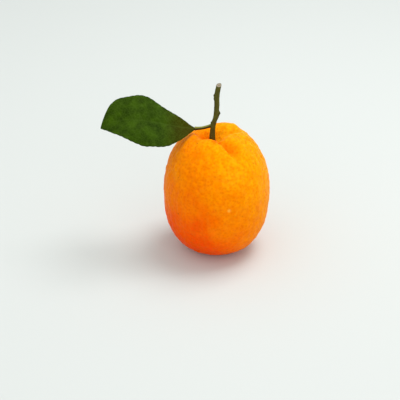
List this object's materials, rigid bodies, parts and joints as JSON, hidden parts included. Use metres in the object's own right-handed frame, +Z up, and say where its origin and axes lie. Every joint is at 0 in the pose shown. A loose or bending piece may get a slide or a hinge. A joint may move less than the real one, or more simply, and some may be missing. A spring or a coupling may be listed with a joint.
{
  "type": "mandarin",
  "caption": "Whole orange citrus fruit with a dimpled, creased crown, standing upright with its short woody twig and one green leaf still attached.",
  "frame": {"origin": "centre of the flat spot that the fruit rests on", "axes": "+Z up along the fruit towards its twig; the leaf reaches out to -X; the creased side of the crown faces -Y"},
  "size_m": [0.0925, 0.0594, 0.0991],
  "materials": {
    "rind": "satin",
    "calyx": "matte",
    "bark": "matte",
    "leaf_stalk": "matte",
    "leaf": "satin"
  },
  "bodies": {
    "root": {"fruit": "rind", "calyx": "calyx", "stem": "bark", "leaf_stalk": "leaf_stalk", "leaf_blade": "leaf"}
  },
  "joints": []
}
